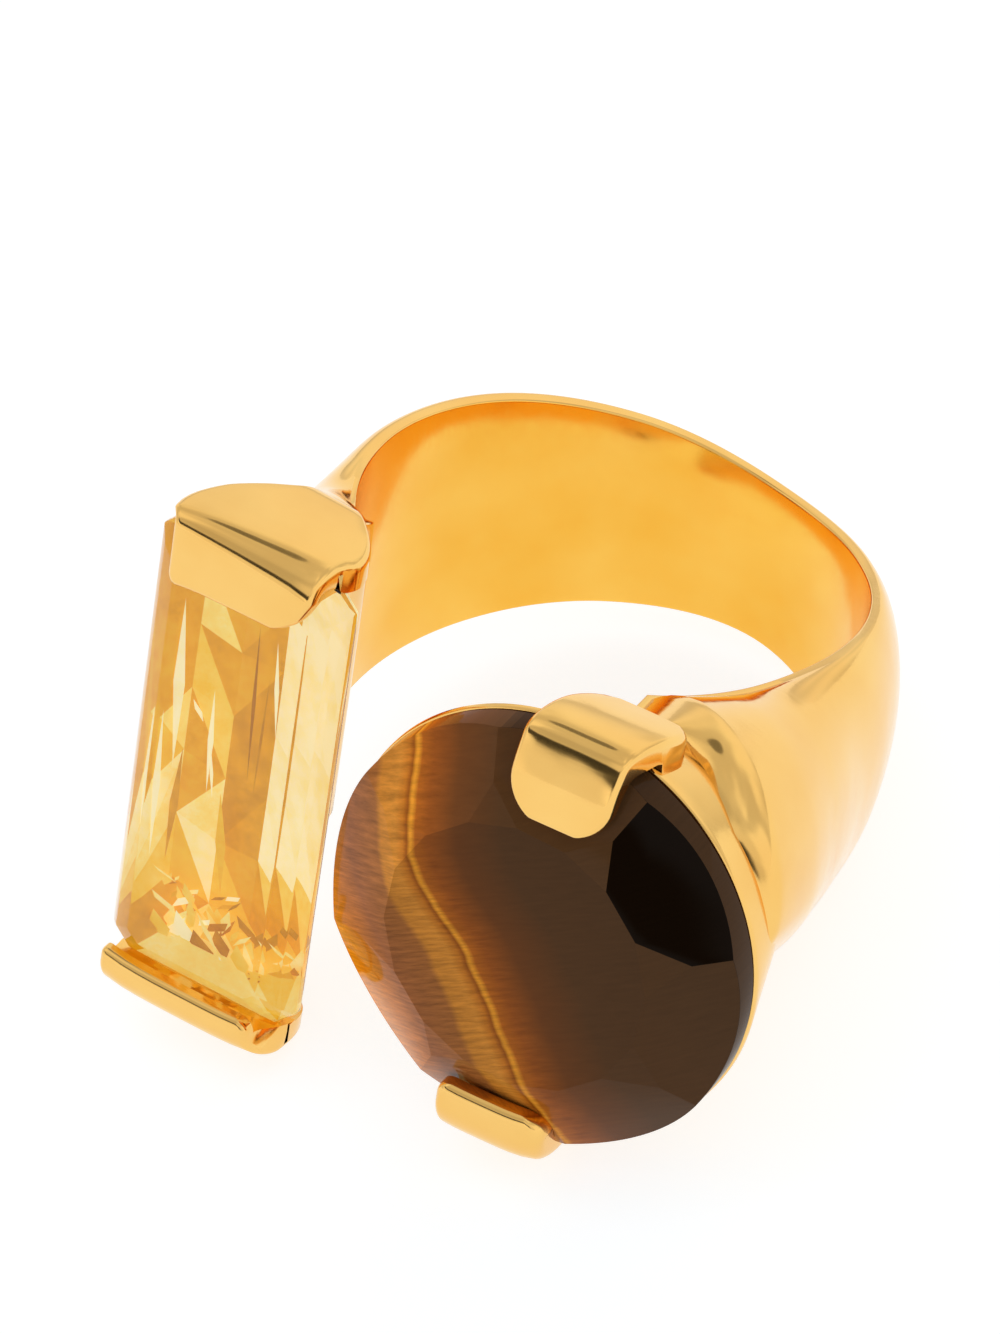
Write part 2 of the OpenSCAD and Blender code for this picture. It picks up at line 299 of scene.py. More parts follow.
def gold_piece(name, points, faces, crease=32, round_edges=0.0):
    """A stretch of the soldered gold body, from points of the upright ring. Its sharp edges may be
    rounded, by round_edges millimetres."""
    mesh = bpy.data.meshes.new(name)
    mesh.from_pydata([lay_down @ Vector(p) for p in points], [], faces)
    shape = bmesh.new()
    shape.from_mesh(mesh)
    bmesh.ops.remove_doubles(shape, verts=shape.verts, dist=1e-7)
    bmesh.ops.recalc_face_normals(shape, faces=shape.faces)
    if round_edges:
        bmesh.ops.bevel(shape, geom=sharp_edges(shape, crease), offset=round_edges / 1000, segments=3,
                        profile=0.5, affect="EDGES", clamp_overlap=True)
    shade_smooth(shape, crease)
    shape.to_mesh(mesh)
    shape.free()
    return add_piece(name, mesh, ring_gold, "ring_metal")


def in_setting(at, turn, p):
    """From a setting's own axes to the ring's: x across its stone, y up it and n out of its face."""
    c, s = math.cos(math.radians(turn)), math.sin(math.radians(turn))
    x, y, n = p
    return Vector((at[0] + x * c + n * s, at[1] + x * s - n * c, at[2] + y))


cup_at = (5.87, -13.52, 0)
cup_turn = 2.1
oval_a = 7.39
oval_b = 7.85


def in_cup(p):
    return in_setting(cup_at, cup_turn, p)


def out_of_cup(p):
    c, s = math.cos(math.radians(cup_turn)), math.sin(math.radians(cup_turn))
    dx, dy = p[0] - cup_at[0], p[1] - cup_at[1]
    return dx * c + dy * s, p[2], dx * s - dy * c


# The right shoulder ends in a soft round that sinks on to the wall of the oval cup. It is drawn
# in to a share of the cup's outline, and comes forward, towards the depth of the joint, by a
# least and a most
within_cup = 0.93
joint_n = -1.7
forward_least = 0.5
forward_most = 1.5


def settle_on_cup(row, t):
    """The shoulder's last cross-section at a step t of its way to the cup, from 0 to 1."""
    pull = 1 - math.cos(t * math.pi / 2)
    settled = []
    for p in row:
        x, y, n = out_of_cup(p)
        spread = math.hypot(x / oval_a, y / oval_b)
        keep = 1 if spread < within_cup else within_cup / spread
        ahead = min(forward_most, max(forward_least, joint_n - n)) * math.sin(t * math.pi / 2)
        settled.append(in_cup((x * (1 + (keep - 1) * pull), y * (1 + (keep - 1) * pull), n + ahead)))
    return settled


steps = 14
settle_steps = 10
rows = [band_outline(i / steps) for i in range(steps * (len(STATIONS) - 1) + 1)]
rows += [settle_on_cup(rows[-1], t / settle_steps) for t in range(1, settle_steps + 1)]
band = gold_piece("band", *skin_over(rows))

# The wall of the finger hole, where it is away from the settings, is a deeper, warmer gold: a painted
# reflection of the gold across the hole
wall_depth = 0.12
settings_end_y = -5
band.data.materials.append(painted_reflection_gold)
for face in band.data.polygons:
    middle = to_upright @ face.center
    on_wall = math.hypot(middle.x, middle.y) < finger_r + wall_depth
    upright = abs(face.normal.dot(finger_axis)) < 0.5
    if on_wall and upright and middle.y > settings_end_y:
        face.material_index = 1

# Oval cup and its two tabs
# A shallow oval cup of gold behind the tiger's eye, soldered on the right shoulder. Its lip
# stands just outside the stone, and a strip is folded over the stone at the top and bottom.
lip_out = 0.05
lip_n = -0.76
wall_n = -1.0
foot_r = 3.45
foot_n = -4.45
foot_away = 4.2
foot_angle = math.radians(40)


def oval_ring(a, b, n, count=144, at=(0, 0)):
    return [(at[0] + a * math.cos(2 * math.pi * i / count), at[1] + b * math.sin(2 * math.pi * i / count), n)
            for i in range(count)]


def between(ring_1, ring_2, t):
    return [tuple(p[k] + (q[k] - p[k]) * t for k in range(3)) for p, q in zip(ring_1, ring_2)]


# From the foot, which meets the shoulder, the back of the cup widens to the wall's edge. Then come
# the lip, by how far it is outside the stone, and the hollow, by its share of the stone
wall_edge = oval_ring(oval_a + lip_out, oval_b + lip_out, wall_n)
foot_at = (foot_away * math.cos(foot_angle), foot_away * math.sin(foot_angle))
foot = oval_ring(foot_r, foot_r, foot_n, at=foot_at)
back_steps = 12
rows = [between(wall_edge, foot, t / back_steps) for t in range(back_steps, -1, -1)]
for out, n in ((lip_out, lip_n - 0.1), (lip_out - 0.03, lip_n - 0.03), (lip_out - 0.1, lip_n)):
    rows.append(oval_ring(oval_a + out, oval_b + out, n))
for share, n in ((0.91, lip_n), (0.91, -0.95), (0.31, -3.0)):
    rows.append(oval_ring(oval_a * share, oval_b * share, n))
points, faces = skin_over(rows)
gold_piece("oval_cup", [in_cup(p) for p in points], faces)


def round_over(d, r):
    """How far a rounding of radius r has fallen at a distance d from its border."""
    return 0.0 if d >= r else r - math.sqrt(max(r * r - (r - d) ** 2, 0))


def rows_of_strip(outer, inner, left, right, tip_r, tip_steps=12, far=9.0):
    """Rows (outer point, inner point, left edge, right edge, distance to the tip) of a strip, with
    extra ones in its last stretch, where the two corners of the tip are rounded by tip_r."""
    rows = [(outer[k], inner[k], left[k], right[k], far) for k in range(len(outer) - 1)]
    outer_n, inner_n = [n for y, n in outer], [n for y, n in inner]
    before_y, tip_y = outer[-2][0], outer[-1][0]
    for k in range(tip_steps + 1):
        to_tip = max(tip_r) * (1 - math.sin(math.pi / 2 * k / tip_steps))
        t = 1 - to_tip / abs(before_y - tip_y)
        y = tip_y + math.copysign(to_tip, before_y - tip_y)
        no, ni, x1, x2 = [line[-2] + (line[-1] - line[-2]) * t for line in (outer_n, inner_n, left, right)]
        x1 += round_over(to_tip, tip_r[0])
        x2 -= round_over(to_tip, tip_r[1])
        rows.append(((y, no), (y, ni), x1, x2, to_tip))
    return rows


def folded_strip(outer, inner, left, right, tip_r, soft, form):
    """A thick strip from its foot to its tip. outer and inner are matching lines of (height, depth),
    left and right give its edges at each of their points. Every outer border is rubbed over by soft,
    and form bends the finished strip."""
    graded = [0, 0.08, 0.25, 0.5, 0.75, 1.0]
    flat_steps = 8
    rows = rows_of_strip(outer, inner, left, right, tip_r)
    skin = []
    for k, ((yo, no), (yi, ni), x1, x2, to_tip) in enumerate(rows):
        back, ahead = rows[max(k - 1, 0)][0], rows[min(k + 1, len(rows) - 1)][0]
        run = Vector((ahead[0] - back[0], ahead[1] - back[1]))
        inward = Vector((run.y, -run.x)).normalized() if run.length > 1e-9 else Vector((0, -1))
        if inward.dot(Vector((yi - yo, ni - no))) < 0:
            inward = -inward
        half = (x2 - x1) / 2
        side = [min(soft, half) * g for g in graded]
        places = [x1 + d for d in side]
        places += [x1 + soft + (2 * half - 2 * soft) * j / flat_steps for j in range(1, flat_steps)]
        places += [x2 - d for d in reversed(side)]
        if half < soft:
            places = [x1 + 2 * half * j / (len(places) - 1) for j in range(len(places))]
        row = []
        for x in places:
            sink = round_over(max(min(x - x1, x2 - x, to_tip), 0), soft)
            row.append((x, yo + inward.x * sink, no + inward.y * sink))
        row += [(x, yi, ni) for x in reversed(places)]
        skin.append([form(p) for p in row])
    return skin_over(skin)


def pillow(middle, half, fall_y, fall_n):
    """A strip's ends fall away from its middle by so much in height and in depth."""
    def form(p):
        u = ((p[0] - middle) / half) ** 4
        return p[0], p[1] - fall_y * u, p[2] - fall_n * u
    return form


def level(line, at):
    """Smooth value at one depth on a line of (depth, value) points that rise in depth."""
    for k in range(len(line) - 1):
        (n1, v1), (n2, v2) = line[k], line[k + 1]
        if at <= n2:
            before, after = line[max(k - 1, 0)], line[min(k + 2, len(line) - 1)]
            run = n2 - n1
            t = max(at - n1, 0) / run
            g1 = (v2 - before[1]) / (n2 - before[0]) * run
            g2 = (after[1] - v1) / (after[0] - n1) * run
            ease = 3 * t * t - 2 * t ** 3
            return (1 - ease) * v1 + (t ** 3 - 2 * t * t + t) * g1 + ease * v2 + (t ** 3 - t * t) * g2
    return line[-1][1]


# The top tab stands on the back of the cup, rises above the lip, bends tightly and lies flat
# over the stone. Its sides are (depth, place across), and it is narrowest at its foot.
top_tip = 5.55
outer = curve((8.25, -2.4), (8.5, -1.7), (8.93, -0.7), (8.93, 0.2), 10)
outer += curve((8.93, 0.2), (8.93, 0.75), (8.8, 1.05), (8.4, 1.2), 12)[1:]
outer += curve((8.4, 1.2), (8.0, 1.35), (7.5, 1.5), (7.05, 1.58), 6)[1:] + [(top_tip, 1.74)]
inner = [(6.6 + 0.06 * k, -2.4 + 0.26 * k) for k in range(7)]
inner += [(7.9, -0.78), (7.95, -0.6), (7.95, -0.35), (7.95, -0.1)]
inner += curve((7.95, -0.1), (7.95, 0.25), (7.9, 0.5), (7.75, 0.62), 12)[1:]
inner += curve((7.75, 0.62), (7.5, 0.78), (7.25, 0.92), (7.0, 1.0), 6)[1:] + [(top_tip, 1.3)]
left_side = [(-2.4, 0.25), (-2.1, -0.25), (-1.2, -0.75), (0.3, -1.05), (1.7, -1.25)]
right_side = [(-2.4, 2.8), (-2.1, 3.05), (-1.2, 3.0), (0.0, 2.75), (1.0, 2.55), (1.74, 2.42)]


def tab_form(p):
    """The top tab falls a little towards its two sides, in height only where it is bent."""
    bent_part = min(max((1.5 - p[2]) / 0.6, 0), 1)
    return pillow(0.7, 2.2, 0.2 * bent_part, 0.12)(p)


left = [level(left_side, n) for y, n in outer]
right = [level(right_side, n) for y, n in outer]
points, faces = folded_strip(outer, inner, left, right, (1.45, 1.4), 0.24, tab_form)
gold_piece("top_tab", [in_cup(p) for p in points], faces, crease=40)

# The low tab is shorter, plain and straight-sided, in one even bend round the stone's girdle
low_tip = 6.1
outer = curve((-8.45, -1.8), (-8.5, -1.2), (-8.5, -0.5), (-8.5, -0.1), 6)
outer += curve((-8.5, -0.1), (-8.5, 0.85), (-8.0, 1.62), (-7.1, 1.72), 14)[1:] + [(-low_tip, 1.72)]
inner = curve((-7.9, -1.8), (-7.9, -1.2), (-7.9, -0.5), (-7.9, -0.1), 6)
inner += curve((-7.9, -0.1), (-7.9, 0.4), (-7.5, 0.75), (-7.0, 0.9), 14)[1:] + [(-low_tip, 1.15)]
left = [-1.98] * len(outer)
right = [1.95] * len(outer)
points, faces = folded_strip(outer, inner, left, right, (0.6, 0.95), 0.3, pillow(-0.3, 2.3, -0.22, 0.22))
gold_piece("low_tab", [in_cup(p) for p in points], faces, crease=40)

# Citrine holder
# A gold back plate under the citrine, turned up at both ends into a wall that is folded over
# the stone. The top wall is wide and meets the left shoulder.
holder_at = (-6.2, -12.92, 0)
holder_turn = -2.0
wall_out = 10.15
wall_t = 1.0
wall_back = -3.4
back_r = 0.9
flat_from = -2.4
flat_steps = 12
bend_steps = 14
flap_front = 1.5
flap_t = 0.48
inside_bend_n = -0.4


def in_holder(p):
    return in_setting(holder_at, holder_turn, p)


def bend_line(y, n, across_r, out_r, start, end, steps):
    """Points of a bend round (y, n), from one angle to another, in degrees."""
    turns = [math.radians(start + (end - start) * k / steps) for k in range(steps + 1)]
    return [(y + across_r * math.cos(t), n + out_r * math.sin(t)) for t in turns]


def end_cap(name, left_side, right_side, tip_left, tip_right, tip_y, tip_r, fold, form, low=False):
    """One end wall with its flap, drawn at the top of the stone: a bend up from the back, a flat
    stretch, the fold, with its radius across and out, and the flap as far as tip_y. The wall is
    half as thick at its foot. The sides are (depth, place across) and end in tip_left and
    tip_right at the flap's tip."""
    outer = bend_line(wall_out - back_r, wall_back + back_r, back_r, back_r, -84, 0, 8)
    flat = flap_front - fold[1] - flat_from
    outer += [(wall_out, flat_from + flat * k / flat_steps) for k in range(flat_steps)]
    rise = len(outer)
    outer += bend_line(wall_out - fold[0], flap_front - fold[1], fold[0], fold[1], 0, 90, bend_steps)
    left = [level(left_side, n) for y, n in outer] + [tip_left]
    right = [level(right_side, n) for y, n in outer] + [tip_right]
    inner = []
    for k, (y, n) in enumerate(outer[:rise]):
        inner.append((min(y, wall_out) - wall_t * (0.5 + 0.5 * k / rise), n))
    for k in range(bend_steps + 1):
        t = k / bend_steps
        inner.append((wall_out - wall_t - (fold[0] - wall_t) * t * t,
                      inside_bend_n + (flap_front - flap_t - inside_bend_n) * t))
    outer.append((tip_y, flap_front - 0.02))
    inner.append((tip_y, flap_front - flap_t))
    points, faces = folded_strip(outer, inner, left, right, tip_r, 0.26, form)
    if low:
        points = [(x, -y, n) for x, y, n in points]
    gold_piece(name, [in_holder(p) for p in points], faces, crease=40)


top_fold = (0.85, 1.0)


def cap_form(p):
    """The top cap is pillowed, its wall is domed, and its fold is tighter at the left than at the
    right. The change in the fold fades out over a short way beyond it."""
    dome, dome_half = 0.09, 1.8
    fold_growth, fold_middle, fade = 0.13, 0.5, 1.5
    x, y, n = pillow(0.3, 3.3, 0.36, 0.1)(p)
    y -= dome * (min(n - inside_bend_n, 0) / dome_half) ** 2
    wide = 1 + fold_growth * (x - fold_middle)

    def widened(way, r):
        return way * wide if way < r else way + (wide - 1) * r * max(0, 1 - (way - r) / fade)

    down, back = widened(wall_out - y, top_fold[0]), widened(flap_front - n, top_fold[1])
    return x, wall_out - down, flap_front - back


end_cap("top_cap", tip_left=-2.5, tip_right=2.25, tip_y=7.36, tip_r=(0.45, 1.15), fold=top_fold,
        form=cap_form,
        left_side=[(-3.4, 0.1), (-2.55, -0.5), (-1.8, -1.35), (-0.76, -2.35), (0.2, -2.85), (1.5, -2.5)],
        right_side=[(-3.4, 1.4), (-2.8, 2.0), (-2.3, 2.5), (-1.75, 2.98), (-1.05, 3.3), (-0.4, 3.3),
                    (0.3, 3.05), (1.0, 2.95), (1.5, 2.9)])
end_cap("low_cap", tip_left=-3.3, tip_right=2.6, tip_y=8.45, tip_r=(0.3, 0.5), fold=(1.1, 1.35),
        form=pillow(-0.1, 3.4, 0.12, 0.2), low=True,
        left_side=[(-3.4, -0.2), (-2.2, -1.2), (-1.1, -2.45), (0.1, -3.3), (1.5, -3.3)],
        right_side=[(-3.4, 1.2), (-2.3, 2.3), (-1.1, 3.2), (0.3, 3.35), (1.0, 3.15), (1.5, 2.7)])

# The back plate, from the low end up: height, left and right edge, and depth of its back
plate_front = -2.92
plate_rows = []
for y, left, right, back in ((-9.6, -0.4, 0.9, -3.2), (-7.8, -1.8, 0.6, -4.22), (0, -1.8, 0.8, -4.22),
                             (7.8, -1.8, 1.3, -4.22), (9.6, -0.4, 1.3, -3.2)):
    plate_rows.append([(left, y, plate_front), (right, y, plate_front), (right, y, back), (left, y, back)])
points, faces = skin_over(plate_rows)
gold_piece("back_plate", [in_holder(p) for p in points], faces, crease=38, round_edges=0.12)

# Citrine
# A long pale yellow quartz, baguette cut: a plain table, two narrow steps of crown and a back of crossing
# facets, with fine haze and veils inside. It is held only at its ends. Glowing sheets just inside its back
# carry painted light: the light its back sends out, and glints.
citrine_half_w = 3.68
citrine_half_l = 9.0
citrine_crown = 0.92
citrine_girdle = 0.3
plan_size = 20


def cut_stone(name, points, faces, planes, place, finish, node, soft=0.03, tone=None):
    """A convex blank, cut by planes given as a point and an outward direction, in the stone's own axes. soft
    rounds its edges. Each corner keeps its place on the stone's plan, for the pattern in it, and the painted
    light and shade of its facet, which tone gives."""
    mesh = bpy.data.meshes.new(name)
    mesh.from_pydata(points, [], faces)
    shape = bmesh.new()
    shape.from_mesh(mesh)
    bmesh.ops.recalc_face_normals(shape, faces=shape.faces)
    for point, out in planes:
        parts = shape.verts[:] + shape.edges[:] + shape.faces[:]
        done = bmesh.ops.bisect_plane(shape, geom=parts, dist=1e-5, plane_co=point, plane_no=out,
                                      clear_outer=True)
        edges = [e for e in done["geom_cut"] if isinstance(e, bmesh.types.BMEdge)]
        if len(edges) > 2:
            bmesh.ops.edgeloop_fill(shape, edges=edges)
    bmesh.ops.remove_doubles(shape, verts=shape.verts, dist=1e-4)
    bmesh.ops.dissolve_limit(shape, angle_limit=math.radians(0.5), verts=shape.verts, edges=shape.edges)
    bmesh.ops.recalc_face_normals(shape, faces=shape.faces)
    bmesh.ops.bevel(shape, geom=sharp_edges(shape, 5.5), offset=soft, segments=2, profile=0.5,
                    affect="EDGES", clamp_overlap=True)
    shade_smooth(shape, 18)
    plan = shape.loops.layers.uv.new("face_plan")
    shade = shape.loops.layers.float.new("painted_facet_light")
    shape.normal_update()
    for f in shape.faces:
        for corner in f.loops:
            at = corner.vert.co
            corner[plan].uv = (at.x / plan_size + 0.5, at.y / plan_size + 0.5)
            corner[shade] = tone(f.normal, at) if tone else 1.0
    for v in shape.verts:
        v.co = lay_down @ place(v.co)
    bmesh.ops.recalc_face_normals(shape, faces=shape.faces)
    shape.to_mesh(mesh)
    shape.free()
    return add_piece(name, mesh, finish, node)


def maths(tree, kind, *values):
    """A calculation on numbers and on other nodes' outputs."""
    node = tree.nodes.new("ShaderNodeMath")
    node.operation = kind
    for socket, value in zip(node.inputs, values):
        if isinstance(value, (int, float)):
            socket.default_value = value
        else:
            tree.links.new(value, socket)
    return node.outputs[0]


citrine_quartz, tree, surface = new_finish("citrine_quartz", Base_Color=(1.0, 0.985, 0.93, 1), IOR=1.45,
                                           Transmission_Weight=1.0, Roughness=0.0)

# Painted light: glowing copies of the rear facets, each painted its own depth of yellow, stand for the light
# that entered the stone and comes back from its rear facets
GLOW_YELLOWS = [(0.0, (0.36, 0.13, 0.001)), (0.3, (0.64, 0.305, 0.003)), (0.55, (0.74, 0.46, 0.03)),
           (0.8, (0.78, 0.61, 0.17)), (1.0, (0.82, 0.76, 0.47))]
painted_glow, tree, surface = new_finish("citrine_painted_glow", Roughness=0.35, Specular_IOR_Level=0.3,
                                 Emission_Strength=0.5)
own = new_node(tree, "Attribute")
own.attribute_name = "painted_facet_light"
place = new_node(tree, "TexCoord")
veil = new_node(tree, "TexNoise", Scale=900, Detail=6, Roughness=0.7)
cloudy = maths(tree, "MULTIPLY_ADD", veil.outputs["Fac"], 0.5, own.outputs["Fac"])
tint = new_node(tree, "ValToRGB")
set_ramp(tint, GLOW_YELLOWS)
wire_up(tree, [
    (place.outputs["Object"], veil.inputs["Vector"]),
    (maths(tree, "SUBTRACT", cloudy, 0.25), tint.inputs["Fac"]),
    (tint.outputs["Color"], surface.inputs["Base Color"]),
    (tint.outputs["Color"], surface.inputs["Emission Color"]),
])


def cut_corners(w, h, cut, n):
    """The eight corners of an oblong of half width w and half height h, at depth n."""
    return [(w, h - cut, n), (w - cut, h, n), (cut - w, h, n), (-w, h - cut, n),
            (-w, cut - h, n), (cut - w, -h, n), (w - cut, -h, n), (w, cut - h, n)]


corners = cut_corners(0.70 * citrine_half_w, citrine_half_l - 1.1, 0.45, citrine_crown)
corners += cut_corners(0.88 * citrine_half_w, citrine_half_l - 0.5, 0.6, 0.6 * citrine_crown)
corners += cut_corners(citrine_half_w, citrine_half_l, 0.75, 0)
corners += cut_corners(citrine_half_w, citrine_half_l, 0.75, -citrine_girdle)

# The back is a lattice of six rows of corners, fullest at the middle of the stone. Columns:
# share of the half width, height in the first row, depth
BACK_ROW = ((0.82, 7.0, -1.04), (0.60, 5.6, -1.92), (0.22, 6.4, -2.80),
            (-0.82, 5.8, -1.04), (-0.60, 7.2, -1.92), (-0.22, 6.4, -2.80))
row_count = 6
row_step = 2.6
back_end = 0.98
back_swell = 0.03
for k in range(row_count):
    from_middle = 2 * k / (row_count - 1) - 1
    full = back_end * (1 + back_swell * (1 - from_middle ** 2))
    for x, y, n in BACK_ROW:
        corners.append((x * full * citrine_half_w, y - row_step * k, n * full))
blank = bmesh.new()
for p in corners:
    blank.verts.new(p)
bmesh.ops.convex_hull(blank, input=blank.verts)
bmesh.ops.delete(blank, geom=[v for v in blank.verts if not v.link_faces], context="VERTS")
blank.verts.index_update()
blank_points = [tuple(v.co) for v in blank.verts]
blank_faces = [tuple(v.index for v in f.verts) for f in blank.faces]
blank.free()
cut_stone("citrine_baguette", blank_points, blank_faces, [], in_holder, citrine_quartz, "citrine")

glinting_end = -5.4


def painted_glow_of(x, y, k):
    """Painted light on a rear facet: pale at the right, gold in the middle, pale and gold kites at the left,
    glinting at the lower end, and deepest along the right edge."""
    part = x / citrine_half_w
    turn = 0.5 + 0.5 * math.sin(12.9 * k + 4.1 * x)
    if y < glinting_end:
        return 0.28 + 0.5 * turn
    if part > 0.86:
        return -0.1
    if part > 0.2:
        return 0.92 + 0.1 * turn
    if part > -0.15:
        return 0.20 + 0.14 * turn
    return 0.30 + 0.62 * turn


# The glowing copies of the rear facets, which carry the painted light, lie a little inside the clear stone
inside_share = (0.965, 0.985, 0.96)
points, faces, tones = [], [], []
rear = [f for f in blank_faces if max(blank_points[k][2] for k in f) <= 0.01 - citrine_girdle]
for k, f in enumerate(rear):
    ring = [Vector(blank_points[j]) for j in f]
    middle = sum(ring, Vector()) / len(ring)
    faces.append(tuple(range(len(points), len(points) + len(ring))))
    points += [Vector([p[c] * inside_share[c] for c in range(3)]) for p in ring]
    tones.append(painted_glow_of(middle.x, middle.y, k))

# Feathers and slivers inside the stone, then many small painted glints at its lower end, all glowing like
# the rear facets. Columns: place across, height, depth, half width, half length, lean, tone of painted
# yellow glow
veils_and_glints = [(-1.25, 0.2, -1.9, 0.11, 2.1, 0.05, 1.2), (-1.8, 1.2, -1.8, 0.14, 0.4, 0.2, 1.2),
           (-1.05, -1.0, -1.85, 0.07, 1.0, 0.1, 1.1), (-2.45, 2.2, -1.2, 0.22, 3.4, 0.12, 0.95),
           (-2.1, -2.6, -1.3, 0.16, 2.4, -0.1, 0.2), (-2.75, -2.0, -1.0, 0.14, 3.0, 0.05, 1.0),
           (0.1, 2.4, -1.95, 0.07, 3.2, 0.1, 0.0), (0.55, 1.2, -1.9, 0.05, 2.6, -0.06, 0.1),
           (-0.4, -3.6, -1.9, 0.2, 2.0, 0.2, 0.45), (0.9, 3.4, -1.8, 0.09, 1.9, 0.15, 1.1)]
lowest_glint = -8.7
chance = random.Random(5)
for k in range(70):
    deep = chance.uniform(-1.9, -1.1)
    low = chance.uniform(lowest_glint, glinting_end)
    big = 0.6 + 0.9 * (glinting_end - low) / (glinting_end - lowest_glint)
    veils_and_glints.append((chance.uniform(-2.9, 2.2), low, deep, chance.uniform(0.1, 0.38) * big,
                    chance.uniform(0.25, 0.7) * big, chance.uniform(-0.5, 0.5),
                    chance.choice((0.1, 0.3, 0.6, 0.8, 1.1))))
for x, y, n, half_w, half_l, lean, yellow in veils_and_glints:
    faces.append(tuple(range(len(points), len(points) + 4)))
    points += [Vector((x - half_w, y, n)), Vector((x + lean, y - half_l, n - 0.1)),
               Vector((x + half_w, y, n)), Vector((x - lean, y + half_l, n + 0.1))]
    tones.append(yellow)
# One glowing mesh of painted light holds the rear facets, the feathers and slivers, and the glints
mesh = bpy.data.meshes.new("citrine_glowing_rear_facets")
mesh.from_pydata([lay_down @ in_holder(p) for p in points], [], faces)
tone = mesh.attributes.new("painted_facet_light", "FLOAT", "CORNER")
for polygon, yellow in zip(mesh.polygons, tones):
    for loop in polygon.loop_indices:
        tone.data[loop].value = yellow
add_piece("citrine_glowing_rear_facets", mesh, painted_glow, "citrine")

# Tiger's eye
# An oval quartz with silky fibres, cut with a table, eight main facets and eight stars. A
# golden tan band of cross fibres runs down its left, with a thin bright seam beside it.
oval_crown = 1.6
oval_girdle = -0.70
back_n = -2.9
back_share = 0.9
points, faces = skin_over([oval_ring(oval_a * back_share, oval_b * back_share, back_n),
                           oval_ring(oval_a * back_share, oval_b * back_share, oval_girdle),
                           oval_ring(oval_a, oval_b, oval_girdle), oval_ring(oval_a, oval_b, oval_crown)])


def reach(angle):
    """The stone's half width in one direction."""
    return math.hypot(oval_a * math.cos(math.radians(angle)), oval_b * math.sin(math.radians(angle)))


def facet(angle, r, n, run, drop):
    """The plane of a facet that lies across one direction, passes r out at depth n, and falls by
    drop over run."""
    c, s = math.cos(math.radians(angle)), math.sin(math.radians(angle))
    return Vector((r * c, r * s, n)), Vector((drop * c, drop * s, run)).normalized()


# Main facets fall from the table to the stone's edge, stars only a little way, and eight more
# facets close the hidden back
first_main = 41.5
table_share = 0.628
main_drop = 1.5
star_run = 0.192
star_drop = 0.52
back_table = 0.3
back_table_n = -2.85
back_rise = 2.135
cuts = []
for k in range(8):
    main = first_main + 45 * k
    star = main + 22.5
    edge, star_edge = reach(main), reach(star)
    cuts.append(facet(main, table_share * edge, oval_crown, (1 - table_share) * edge, main_drop))
    cuts.append(facet(star, table_share * star_edge, oval_crown, star_run * star_edge, star_drop))
    cuts.append(facet(main, back_table * edge, back_table_n, (back_table - 1) * edge, back_rise))


def soft_step(tree, value, low, high, from_value=0.0, to_value=1.0):
    node = new_node(tree, "MapRange", From_Min=low, From_Max=high, To_Min=from_value, To_Max=to_value)
    node.interpolation_type = "SMOOTHSTEP"
    tree.links.new(value, node.inputs["Value"])
    return node.outputs["Result"]


def scaled(tree, colour, amount):
    node = tree.nodes.new("ShaderNodeVectorMath")
    node.operation = "SCALE"
    wire_up(tree, [(colour, node.inputs[0]), (amount, node.inputs["Scale"])])
    return node.outputs["Vector"]


# Colours from the stone's left to its right: place in mm across the line of the band, colour
SILK = [
    (-4.9, (0.66, 0.205, 0.004)), (-3.6, (0.44, 0.130, 0.011)), (-2.4, (0.27, 0.090, 0.028)),
    (-0.85, (0.29, 0.102, 0.024)), (-0.6, (0.46, 0.175, 0.024)), (0.1, (0.52, 0.200, 0.027)),
    (0.45, (0.42, 0.135, 0.013)), (0.62, (0.25, 0.065, 0.006)), (0.78, (0.68, 0.270, 0.022)),
    (1.0, (0.35, 0.095, 0.009)), (1.5, (0.25, 0.066, 0.009)), (2.6, (0.125, 0.041, 0.010)),
    (4.4, (0.078, 0.034, 0.012)), (8.5, (0.066, 0.031, 0.012)),
]
silk_start = -5
silk_span = 16

# Which way the band runs on the face, how far its line is from the middle of the stone, and
# where, how long and how deep its bend is
band_way = (0.5, -0.866)
band_offset = 2.36
bend_at = -3.4
bend_length = 2.6
bend_depth = 0.9

tiger_quartz, tree, surface = new_finish("tigers_eye_quartz", Roughness=0.05, IOR=1.45,
                                         Specular_IOR_Level=0.06)
plan = new_node(tree, "UVMap")
plan.uv_map = "face_plan"
split = new_node(tree, "SeparateXYZ")
tree.links.new(plan.outputs["UV"], split.inputs[0])
x_mm = maths(tree, "MULTIPLY_ADD", split.outputs["X"], plan_size, -plan_size / 2)
y_mm = maths(tree, "MULTIPLY_ADD", split.outputs["Y"], plan_size, -plan_size / 2)
along = maths(tree, "ADD", maths(tree, "MULTIPLY", x_mm, band_way[0]),
              maths(tree, "MULTIPLY", y_mm, band_way[1]))
across = maths(tree, "SUBTRACT", maths(tree, "MULTIPLY", y_mm, band_way[0]),
               maths(tree, "MULTIPLY", x_mm, band_way[1]))

